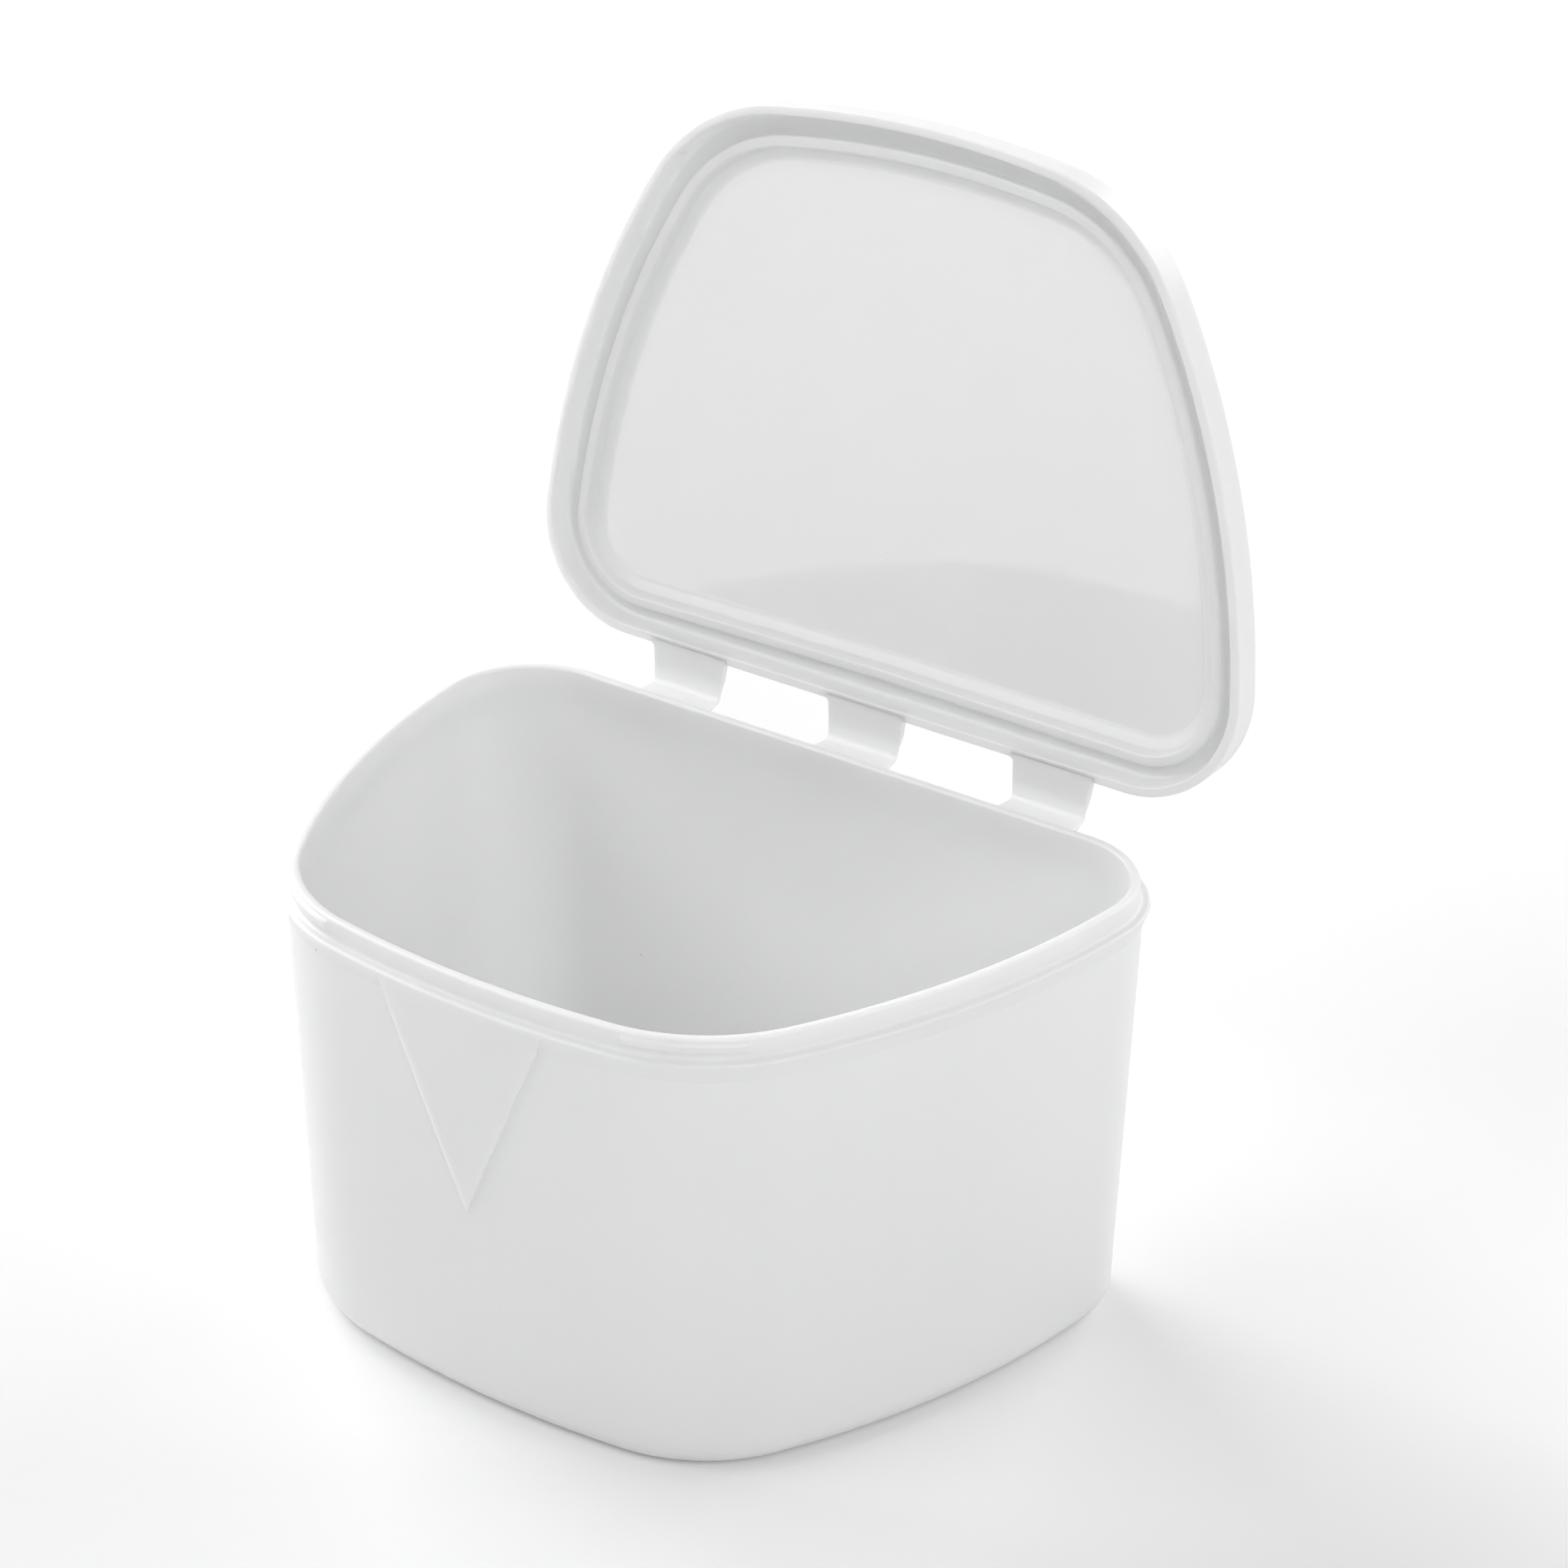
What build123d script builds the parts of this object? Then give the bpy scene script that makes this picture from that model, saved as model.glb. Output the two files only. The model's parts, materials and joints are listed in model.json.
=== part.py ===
"""Retainer case: a deep moulded tub and a shallow lid joined by three film hinge straps.

Units are millimetres. The frame is the tub's own: Z is up and zero on the flat base,
X is zero on the mirror plane, the hinge is at the back (+Y) and the front is at -Y.
The lid is drawn shut and then turned to the open rest position.
"""

import math
import os

from build123d import *

# Plan outline: half of the rim opening as a chain of tangent arcs, front to back
FRONT_RADIUS = 122.0
FRONT_ANGLE = 8.4
FRONT_CORNER_RADIUS = 20.0
FRONT_CORNER_ANGLE = 51.9
SIDE_RADIUS = 100.0
SIDE_ANGLE = 24.7
BACK_CORNER_RADIUS = 10.4
BACK_CORNER_ANGLE = 180 - FRONT_ANGLE - FRONT_CORNER_ANGLE - SIDE_ANGLE
FRONT_Y = -31.66
BACK_Y = 31.66

# Tub heights
TUB_HEIGHT = 53.7
NECK_HEIGHT = 2.4
SHOULDER_Z = TUB_HEIGHT - NECK_HEIGHT
SHOULDER_SLOPE_HEIGHT = 2.4
WALL_TOP_Z = SHOULDER_Z - SHOULDER_SLOPE_HEIGHT
FOOT_HEIGHT = 4.0
FLOOR_THICKNESS = 1.7

# Tub offsets from the rim opening, positive outward
BASE_GROW = 0.3
WALL_TOP_GROW = 1.55
SHOULDER_GROW = 2.4
NECK_GROW = 1.1
CAVITY_FLOOR_GROW = -1.4

# Tub edges
BASE_ROUND = 3.5
CAVITY_CHAMFER_HEIGHT = 2.4
CAVITY_CHAMFER_WIDTH = 1.8
NECK_LIP_CHAMFER = 0.25
NECK_ROOT_CHAMFER = 0.35

# Thumb wedge: raised triangle under the front of the shoulder
WEDGE_HALF_WIDTH = 11.2
WEDGE_TIP_Z = 25.7
WEDGE_PROUD = 0.6
WEDGE_REACH = 12.0

# Lid, measured up from its rim with the lid shut
LID_HEIGHT = 5.0
LID_HOLLOW = 3.9
LID_RIM_GROW = 2.6
LID_TOP_GROW = 2.35
SKIRT_INNER_GROW = 1.45
SKIRT_ROOT_GROW = 1.35
LID_TOP_ROUND = 1.3
LID_BAND_HEIGHT = 1.4

# Locating ring inside the lid
RING_OUTER_GROW = -1.05
RING_INNER_GROW = -2.25
RING_FOOT_GROW = -2.9
RING_FACE = 2.15
RING_FOOT_CHAMFER = 0.8
RING_EDGE_CHAMFER = 0.25

# Hinge line and lid position
HINGE_Y = 38.9
HINGE_GAP = 0.12
HINGE_Z = SHOULDER_Z + HINGE_GAP
HINGE_AXIS = Axis((0, HINGE_Y, HINGE_Z), (1, 0, 0))
LID_OPEN_ANGLE = 95.0
LID_RIM_Z = HINGE_Z + HINGE_GAP
LID_BAND_Z = LID_RIM_Z + LID_HEIGHT - LID_BAND_HEIGHT
LID_FLOOR_Z = LID_RIM_Z + LID_HOLLOW
RING_FACE_Z = LID_RIM_Z + RING_FACE

# Snap beads on the two front corners, by angle from straight ahead
FRONT_SIDES = (-1, 1)
BEAD_START_ANGLE = 13.0
BEAD_SWEEP = 35.0
BEAD_EMBED = 0.3
BEAD_SLOPE_SHARE = 0.3
TUB_BEAD_PROUD = 0.4
TUB_BEAD_HEIGHT = 1.4
TUB_BEAD_LOW_Z = TUB_HEIGHT - 1.65
LID_BEAD_PROUD = 0.22
LID_BEAD_HEIGHT = 0.7
LID_GROOVE_DEPTH = 0.35
LID_GROOVE_HEIGHT = 1.8

# Hinge straps: two stiff leaves and a thin film between them
STRAP_SIDES = {"left": -1, "centre": 0, "right": 1}
STRAP_PITCH = 25.3
STRAP_TUB_WIDTH = 10.6
STRAP_FOLD_WIDTH = 9.5
STRAP_LID_WIDTH = 10.3
LEAF_THICKNESS = 1.2
LEAF_END_THICKNESS = 0.5
LEAF_END_LENGTH = 0.9
LEAF_ROOT_DEPTH = 1.0
LEAF_ROOT_ROUND = 0.9
FILM_HALF_GAP = 0.6
FILM_THICKNESS = 0.4


def plan_outline(grow: float, level: float) -> Sketch:
    """Rim opening outline grown by an offset, on a level plane."""
    with BuildSketch(Plane.XY.offset(level)) as outline:
        with BuildLine():
            front = JernArc((0, FRONT_Y - grow), (1, 0), FRONT_RADIUS + grow, FRONT_ANGLE)
            front_corner = JernArc(
                front @ 1, front % 1, FRONT_CORNER_RADIUS + grow, FRONT_CORNER_ANGLE
            )
            side = JernArc(front_corner @ 1, front_corner % 1, SIDE_RADIUS + grow, SIDE_ANGLE)
            back_corner = JernArc(
                side @ 1, side % 1, BACK_CORNER_RADIUS + grow, BACK_CORNER_ANGLE
            )
            Line(back_corner @ 1, (0, (back_corner @ 1).Y))
            mirror(about=Plane.YZ)
        make_face()
    return outline.sketch


def front_corner_centre(side: int) -> Vector:
    """Centre of the arc that rounds a front corner of the plan outline."""
    turn = math.radians(FRONT_ANGLE)
    reach = FRONT_RADIUS - FRONT_CORNER_RADIUS
    return Vector(
        side * reach * math.sin(turn), FRONT_Y + FRONT_RADIUS - reach * math.cos(turn), 0
    )


def corner_bead(side: int, root_grow: float, proud: float, low: float, height: float) -> Part:
    """Bead with sloped flanks that follows a front corner; a negative proud points inward."""
    centre = front_corner_centre(side)
    start = BEAD_START_ANGLE if side > 0 else -BEAD_START_ANGLE - BEAD_SWEEP
    section = Plane(
        origin=centre,
        x_dir=Vector(0, -1, 0).rotate(Axis.Z, start),
        z_dir=Vector(-1, 0, 0).rotate(Axis.Z, start),
    )
    root = FRONT_CORNER_RADIUS + root_grow
    buried = root - math.copysign(BEAD_EMBED, proud)
    slope = BEAD_SLOPE_SHARE * height
    high = low + height
    with BuildPart() as bead:
        with BuildSketch(section):
            with BuildLine():
                Polyline(
                    (root, low),
                    (root + proud, low + slope),
                    (root + proud, high - slope),
                    (root, high),
                    (buried, high),
                    (buried, low),
                    close=True,
                )
            make_face()
        revolve(axis=Axis(centre, (0, 0, 1)), revolution_arc=BEAD_SWEEP)
    return bead.part


def hinge_leaf(centre_x: float, root_width: float, root_y: float, direction: int) -> Part:
    """Stiff leaf of a strap, reaching into its wall; direction is -1 for tub and +1 for lid."""
    face_z = HINGE_Z + direction * HINGE_GAP
    end_y = HINGE_Y - FILM_HALF_GAP
    half_root = root_width / 2
    with BuildPart() as leaf:
        with BuildSketch(Plane((centre_x, 0, face_z))):
            with BuildLine():
                foot = Polyline(
                    (0, root_y - LEAF_ROOT_DEPTH),
                    (half_root + LEAF_ROOT_ROUND, root_y - LEAF_ROOT_DEPTH),
                    (half_root + LEAF_ROOT_ROUND, root_y),
                )
                root = RadiusArc(foot @ 1, (half_root, root_y + LEAF_ROOT_ROUND), LEAF_ROOT_ROUND)
                Polyline(root @ 1, (STRAP_FOLD_WIDTH / 2, end_y), (0, end_y))
                mirror(about=Plane.YZ)
            make_face()
        extrude(amount=direction * LEAF_THICKNESS)
        with BuildSketch(Plane.YZ.offset(centre_x)):
            with BuildLine():
                Polyline(
                    (end_y - LEAF_END_LENGTH, face_z + direction * LEAF_THICKNESS),
                    (end_y, face_z + direction * LEAF_END_THICKNESS),
                    (end_y, face_z + direction * LEAF_THICKNESS),
                    close=True,
                )
            make_face()
        extrude(amount=root_width, both=True, mode=Mode.SUBTRACT)
    return leaf.part


os.makedirs("parts", exist_ok=True)

# Thumb wedge
with BuildPart() as thumb_wedge:
    loft(
        [
            plan_outline(BASE_GROW + WEDGE_PROUD, FOOT_HEIGHT),
            plan_outline(WALL_TOP_GROW + WEDGE_PROUD, WALL_TOP_Z),
        ],
        ruled=True,
    )
    extrude(plan_outline(WALL_TOP_GROW + WEDGE_PROUD, WALL_TOP_Z), amount=SHOULDER_SLOPE_HEIGHT)
    with BuildSketch(Plane.XZ.offset(-FRONT_Y - WEDGE_REACH / 2)):
        with BuildLine():
            Polyline(
                (0, WEDGE_TIP_Z),
                (WEDGE_HALF_WIDTH, SHOULDER_Z),
                (-WEDGE_HALF_WIDTH, SHOULDER_Z),
                close=True,
            )
        make_face()
    extrude(amount=WEDGE_REACH, mode=Mode.INTERSECT)

# Outside of the tub: drafted wall, sloped shoulder and neck
with BuildPart() as tub_outside:
    extrude(plan_outline(BASE_GROW, 0), amount=FOOT_HEIGHT)
    fillet(tub_outside.edges().group_by(Axis.Z)[0], BASE_ROUND)
    loft(
        [plan_outline(BASE_GROW, FOOT_HEIGHT), plan_outline(WALL_TOP_GROW, WALL_TOP_Z)],
        ruled=True,
    )
    loft(
        [plan_outline(WALL_TOP_GROW, WALL_TOP_Z), plan_outline(SHOULDER_GROW, SHOULDER_Z)],
        ruled=True,
    )
    add(thumb_wedge.part)
    extrude(plan_outline(NECK_GROW, SHOULDER_Z), amount=NECK_HEIGHT)
    chamfer(tub_outside.edges(Select.LAST).group_by(Axis.Z)[0], NECK_ROOT_CHAMFER)
    chamfer(tub_outside.edges().group_by(Axis.Z)[-1], NECK_LIP_CHAMFER)

# Room inside the tub
with BuildPart() as tub_cavity:
    loft([plan_outline(CAVITY_FLOOR_GROW, FLOOR_THICKNESS), plan_outline(0, TUB_HEIGHT)], ruled=True)
    chamfer(
        tub_cavity.edges().group_by(Axis.Z)[0],
        CAVITY_CHAMFER_WIDTH,
        CAVITY_CHAMFER_HEIGHT,
        reference=tub_cavity.faces().sort_by(Axis.Z)[0],
    )

# Tub
tub_beads = [
    corner_bead(side, NECK_GROW, TUB_BEAD_PROUD, TUB_BEAD_LOW_Z, TUB_BEAD_HEIGHT)
    for side in FRONT_SIDES
]
with BuildPart() as tub:
    add(tub_outside.part)
    add(tub_beads)
    add(tub_cavity.part, mode=Mode.SUBTRACT)

tub.part.label = "tub"
export_step(tub.part, "parts/tub.step")

# Outside of the lid, drawn shut
with BuildPart() as lid_outside:
    loft(
        [plan_outline(LID_RIM_GROW, LID_RIM_Z), plan_outline(LID_TOP_GROW, LID_BAND_Z)],
        ruled=True,
    )
    extrude(plan_outline(LID_TOP_GROW, LID_BAND_Z), amount=LID_BAND_HEIGHT)
    fillet(lid_outside.edges().group_by(Axis.Z)[-1], LID_TOP_ROUND)

# Room under the lid, before the ring
with BuildPart() as lid_hollow:
    loft(
        [
            plan_outline(SKIRT_INNER_GROW, LID_RIM_Z),
            plan_outline(SKIRT_ROOT_GROW, LID_FLOOR_Z),
        ],
        ruled=True,
    )

# Room inside the locating ring, which flares gently into the lid's panel
with BuildPart() as ring_hollow:
    loft(
        [plan_outline(RING_INNER_GROW, RING_FACE_Z), plan_outline(RING_FOOT_GROW, LID_FLOOR_Z)],
        ruled=True,
    )
    chamfer(ring_hollow.edges().group_by(Axis.Z)[-1], RING_FOOT_CHAMFER)

# Locating ring that drops just inside the neck
with BuildPart() as locating_ring:
    extrude(plan_outline(RING_OUTER_GROW, RING_FACE_Z), amount=LID_HOLLOW - RING_FACE)
    add(ring_hollow.part, mode=Mode.SUBTRACT)
    chamfer(locating_ring.edges().group_by(Axis.Z)[0], RING_EDGE_CHAMFER)

# Lid: skirt, channel for the neck, ring, and a groove and a bead in each front corner
groove_low_z = LID_RIM_Z + LID_BEAD_HEIGHT
lid_grooves = [
    corner_bead(side, SKIRT_INNER_GROW, LID_GROOVE_DEPTH, groove_low_z, LID_GROOVE_HEIGHT)
    for side in FRONT_SIDES
]
lid_beads = [
    corner_bead(side, SKIRT_INNER_GROW, -LID_BEAD_PROUD, LID_RIM_Z, LID_BEAD_HEIGHT)
    for side in FRONT_SIDES
]
with BuildPart() as lid:
    add(lid_outside.part)
    add(lid_hollow.part, mode=Mode.SUBTRACT)
    add(locating_ring.part)
    add(lid_grooves, mode=Mode.SUBTRACT)
    add(lid_beads)

lid_open = lid.part.rotate(HINGE_AXIS, -LID_OPEN_ANGLE)
lid_open.label = "lid"
export_step(lid_open, "parts/lid.step")

# Leaves and films of the three straps
tub_root_y = BACK_Y + SHOULDER_GROW
lid_root_y = BACK_Y + LID_RIM_GROW
film_bend = 180 - LID_OPEN_ANGLE
film_radius = FILM_HALF_GAP / math.tan(math.radians(film_bend / 2)) + HINGE_GAP
film_centre = (HINGE_Y - FILM_HALF_GAP, HINGE_Z - HINGE_GAP + film_radius)

for strap, step in STRAP_SIDES.items():
    centre_x = step * STRAP_PITCH
    tub_leaf_blank = hinge_leaf(centre_x, STRAP_TUB_WIDTH, tub_root_y, -1)
    lid_leaf_blank = hinge_leaf(centre_x, STRAP_LID_WIDTH, lid_root_y, 1)

    with BuildPart() as tub_leaf:
        add(tub_leaf_blank)
        add(tub_outside.part, mode=Mode.SUBTRACT)
    tub_leaf.part.label = f"tub_hinge_leaf_{strap}"
    export_step(tub_leaf.part, f"parts/tub_hinge_leaf_{strap}.step")

    with BuildPart() as lid_leaf:
        add(lid_leaf_blank)
        add(lid_outside.part, mode=Mode.SUBTRACT)
    lid_leaf_open = lid_leaf.part.rotate(HINGE_AXIS, -LID_OPEN_ANGLE)
    lid_leaf_open.label = f"lid_hinge_leaf_{strap}"
    export_step(lid_leaf_open, f"parts/lid_hinge_leaf_{strap}.step")

    with BuildPart() as film:
        with BuildSketch(Plane.YZ.offset(centre_x)):
            with BuildLine():
                inner = CenterArc(film_centre, film_radius, -90, film_bend)
                outer = CenterArc(film_centre, film_radius + FILM_THICKNESS, -90, film_bend)
                Line(inner @ 0, outer @ 0)
                Line(inner @ 1, outer @ 1)
            make_face()
        extrude(amount=STRAP_FOLD_WIDTH / 2, both=True)
    film.part.label = f"hinge_film_{strap}"
    export_step(film.part, f"parts/hinge_film_{strap}.step")
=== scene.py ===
"""Retainer case in white polypropylene: tub, snap lid and three film hinge straps.

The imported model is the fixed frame. Each shell is swept from one wall section along the same plan
outline, so the dressed shells keep the sizes of the solids and add their real edges and finishes.
All sizes are in metres.
"""

import json
import logging
import math
from dataclasses import dataclass, field
from enum import Enum
from typing import Callable, Sequence

import bmesh
import bpy
from mathutils import Matrix, Vector

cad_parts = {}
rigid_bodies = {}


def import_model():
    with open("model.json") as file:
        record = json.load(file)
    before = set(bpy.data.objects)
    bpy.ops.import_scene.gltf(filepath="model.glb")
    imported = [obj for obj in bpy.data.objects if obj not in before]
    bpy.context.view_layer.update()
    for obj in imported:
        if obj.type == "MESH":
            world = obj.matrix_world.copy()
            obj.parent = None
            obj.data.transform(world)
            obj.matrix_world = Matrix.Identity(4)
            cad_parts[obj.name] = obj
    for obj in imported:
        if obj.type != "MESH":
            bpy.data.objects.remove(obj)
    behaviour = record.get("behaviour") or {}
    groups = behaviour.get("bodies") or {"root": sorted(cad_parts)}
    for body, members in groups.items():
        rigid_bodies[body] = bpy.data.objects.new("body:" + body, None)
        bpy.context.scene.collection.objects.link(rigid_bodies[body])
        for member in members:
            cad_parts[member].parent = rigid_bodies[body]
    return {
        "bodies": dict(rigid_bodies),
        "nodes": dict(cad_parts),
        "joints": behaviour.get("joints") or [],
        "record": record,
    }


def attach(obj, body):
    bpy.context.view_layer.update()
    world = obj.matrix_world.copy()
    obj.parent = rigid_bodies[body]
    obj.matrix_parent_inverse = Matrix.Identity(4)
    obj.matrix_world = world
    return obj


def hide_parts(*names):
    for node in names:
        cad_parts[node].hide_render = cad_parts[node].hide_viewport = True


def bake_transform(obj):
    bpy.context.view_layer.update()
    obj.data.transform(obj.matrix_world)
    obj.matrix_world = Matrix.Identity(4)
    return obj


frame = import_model()

LOG = logging.getLogger("retainer_case")
MM = 0.001
IMAGE_SIZE = 1932
SENSOR = 0.036
MERGE = 0.002 * MM
SLACK = 0.01 * MM
ANGLE_SLACK = 0.002


class Side(Enum):
    """Places of the three hinge straps, by their step from the mirror plane."""

    LEFT = -1
    CENTRE = 0
    RIGHT = 1


class Body(Enum):
    """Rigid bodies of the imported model."""

    TUB = "tub"
    LID = "lid"


# Shader maths


class Value:
    """A shader socket that takes part in Python expressions, adding Math nodes as it goes."""

    def __init__(self, graph: "Graph", socket: bpy.types.NodeSocket) -> None:
        """Wrap a socket of a graph.

        Args:
            graph: The node graph that new Math nodes are added to.
            socket: The output socket to wrap.
        """
        self.graph = graph
        self.socket = socket

    def _math(self, operation: str, *values: "Value | float") -> "Value":
        """Add one Math node.

        Args:
            operation: Name of the Math node's operation.
            values: The node's inputs, in order.

        Returns:
            The wrapped result.
        """
        sockets = dict(enumerate(values))
        return self.graph.node("ShaderNodeMath", {"operation": operation}, sockets).out(0)

    def __add__(self, other: "Value | float") -> "Value":
        """Sum."""
        return self._math("ADD", self, other)

    def __radd__(self, other: float) -> "Value":
        """Sum, with the number first."""
        return self._math("ADD", other, self)

    def __sub__(self, other: "Value | float") -> "Value":
        """Difference."""
        return self._math("SUBTRACT", self, other)

    def __rsub__(self, other: float) -> "Value":
        """Difference, with the number first."""
        return self._math("SUBTRACT", other, self)

    def __mul__(self, other: "Value | float") -> "Value":
        """Product."""
        return self._math("MULTIPLY", self, other)

    def __rmul__(self, other: float) -> "Value":
        """Product, with the number first."""
        return self._math("MULTIPLY", other, self)

    def __gt__(self, other: "Value | float") -> "Value":
        """1 where this is greater than the other, else 0."""
        return self._math("GREATER_THAN", self, other)

    def rise(self, low: float, high: float) -> "Value":
        """Smooth step of this value.

        Args:
            low: Where the result leaves 0.
            high: Where the result reaches 1.

        Returns:
            The smooth step, from 0 to 1.
        """
        settings = {"interpolation_type": "SMOOTHSTEP"}
        sockets = {"Value": self, "From Min": low, "From Max": high}
        return self.graph.node("ShaderNodeMapRange", settings, sockets).out("Result")


@dataclass
class Node:
    """A shader node and the graph that it stands in."""

    graph: "Graph"
    node: bpy.types.Node

    def out(self, key: int | str) -> Value:
        """Output socket by number or name."""
        return Value(self.graph, self.node.outputs[key])


@dataclass
class Graph:
    """Node tree of a material or of the world."""

    tree: bpy.types.NodeTree

    def node(self, kind: str, settings: dict | None = None, sockets: dict | None = None) -> Node:
        """Add a node of any type.

        Args:
            kind: The node's type, such as ShaderNodeTexNoise.
            settings: Attributes of the node, set before its sockets.
            sockets: Value, or link as a Value, for each input by name or number.

        Returns:
            The new node.
        """
        made = self.tree.nodes.new(kind)
        for key, value in (settings or {}).items():
            setattr(made, key, value)
        for key, value in (sockets or {}).items():
            if isinstance(value, Value):
                self.tree.links.new(value.socket, made.inputs[key])
            else:
                made.inputs[key].default_value = value
        return Node(self, made)

    def mix_colour(self, factor: Value, first: "tuple | Value", second: "tuple | Value") -> Value:
        """Mix of two colours, each as red, green, blue and alpha or as a link.

        Args:
            factor: Share of the second colour.
            first: Colour at 0.
            second: Colour at 1.

        Returns:
            The mixed colour.
        """
        settings = {"data_type": "RGBA"}
        return self.node("ShaderNodeMix", settings, {0: factor, 6: first, 7: second}).out(2)


def grey(level: float) -> tuple[float, float, float, float]:
    """Neutral colour with a trace of blue, as bleached plastic has.

    Args:
        level: Lightness, from 0 to 1, linear.

    Returns:
        Red, green, blue and alpha.
    """
    return (level * 0.997, level * 0.999, level, 1.0)


@dataclass(frozen=True)
class Plastic:
    """Moulded polypropylene: near white, with fine grain, slow ripples and stray dark specks."""

    name: str
    colour: float = 0.86
    colour_change: float = 0.01
    roughness: float = 0.36
    roughness_change: float = 0.06
    grain_size: float = 0.35 * MM
    grain_depth: float = 0.0012 * MM
    ripple_size: float = 16 * MM
    ripple_depth: float = 0.03 * MM
    cloud_spread: float = 1.7
    speck_spacing: float = 8.5 * MM
    speck_radius: float = 0.16 * MM
    speck_edge: tuple[float, float] = (0.5, 1.3)
    speck_colour: float = 0.3
    subsurface: float = 1.0
    subsurface_radius: float = 1.8 * MM
    ior: float = 1.49
    coat: float = 0.0
    coat_roughness: float = 0.03
    coat_ior: float = 1.7

    def build(self) -> bpy.types.Material:
        """Make the material.

        Returns:
            The new material.
        """
        material = bpy.data.materials.new(self.name)
        material.use_nodes = True
        material.node_tree.nodes.clear()
        graph = Graph(material.node_tree)
        place = graph.node("ShaderNodeTexCoord").out("Object")
        cloud = self._noise(graph, place, self.ripple_size * self.cloud_spread, 3.0)
        grain = self._noise(graph, place, self.grain_size, 2.0)
        ripple = self._noise(graph, place, self.ripple_size, 1.0)
        shade = graph.mix_colour(
            cloud, grey(self.colour - self.colour_change), grey(self.colour + self.colour_change)
        )
        speck = self._specks(graph, place)
        colour = graph.mix_colour(speck, shade, grey(self.speck_colour))
        roughness = self.roughness + (cloud + grain - 1.0) * self.roughness_change
        slow = self._bump(graph, ripple, self.ripple_depth, None)
        fine = self._bump(graph, grain, self.grain_depth, slow)
        shader = graph.node(
            "ShaderNodeBsdfPrincipled",
            {"subsurface_method": "RANDOM_WALK"},
            {
                "Base Color": colour,
                "Roughness": roughness,
                "Normal": fine,
                "IOR": self.ior,
                "Subsurface Weight": self.subsurface,
                "Subsurface Radius": (1.0, 1.0, 1.0),
                "Subsurface Scale": self.subsurface_radius,
                "Coat Weight": self.coat,
                "Coat Roughness": self.coat_roughness,
                "Coat IOR": self.coat_ior,
            },
        )
        graph.node("ShaderNodeOutputMaterial", None, {"Surface": shader.out("BSDF")})
        return material

    def _noise(self, graph: Graph, place: Value, size: float, detail: float) -> Value:
        """Noise of a given feature size.

        Args:
            graph: The material's graph.
            place: Coordinates to read.
            size: Size of a feature.
            detail: Number of finer layers.

        Returns:
            The noise, about 0 to 1.
        """
        sockets = {"Vector": place, "Scale": 1.0 / size, "Detail": detail}
        return graph.node("ShaderNodeTexNoise", None, sockets).out(0)

    def _bump(self, graph: Graph, height: Value, depth: float, under: Value | None) -> Value:
        """Bump of a given depth.

        Args:
            graph: The material's graph.
            height: The height, from 0 to 1.
            depth: Height at 1.
            under: A normal that the bump lies on, or None.

        Returns:
            The bumped normal.
        """
        sockets = {"Height": height, "Distance": depth, "Strength": 1.0}
        if under is not None:
            sockets["Normal"] = under
        return graph.node("ShaderNodeBump", None, sockets).out("Normal")

    def _specks(self, graph: Graph, place: Value) -> Value:
        """Sparse dark specks that were moulded in.

        Args:
            graph: The material's graph.
            place: Coordinates to read.

        Returns:
            1 in a speck, else 0.
        """
        cells = graph.node(
            "ShaderNodeTexVoronoi", None, {"Vector": place, "Scale": 1.0 / self.speck_spacing}
        )
        radius = self.speck_radius / self.speck_spacing
        low, high = self.speck_edge
        return 1.0 - cells.out("Distance").rise(radius * low, radius * high)


# Section and plan of the shells


@dataclass(frozen=True)
class Corner:
    """Corner of a wall section: offset from the opening outline, height, and round."""

    grow: float
    level: float
    round: float = 0.0


def rounded_section(corners: Sequence[Corner], arc_step: float = math.radians(11)) -> list[Vector]:
    """Points of a section, with an arc of several points at each rounded corner.

    Args:
        corners: The section's corners in order.
        arc_step: Largest turn between two points of an arc.

    Returns:
        Points as (grow, level).
    """
    points = []
    for index, corner in enumerate(corners):
        here = Vector((corner.grow, corner.level))
        if corner.round == 0:
            points.append(here)
            continue
        before, after = corners[index - 1], corners[index + 1]
        back = (Vector((before.grow, before.level)) - here).normalized()
        ahead = (Vector((after.grow, after.level)) - here).normalized()
        half_open = back.angle(ahead) / 2
        reach = corner.round / math.tan(half_open)
        centre = here + (back + ahead).normalized() * corner.round / math.sin(half_open)
        start = here + back * reach - centre
        turn = start.angle_signed(here + ahead * reach - centre)
        steps = max(2, math.ceil(abs(turn) / arc_step))
        for step in range(steps + 1):
            spoke = start.copy()
            spoke.rotate(Matrix.Rotation(-turn * step / steps, 2))
            points.append(centre + spoke)
    return points


@dataclass(frozen=True)
class Stretch:
    """Arc of the plan outline: radius at the opening, turn in degrees, and steps."""

    radius: float
    turn: float
    steps: int


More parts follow.
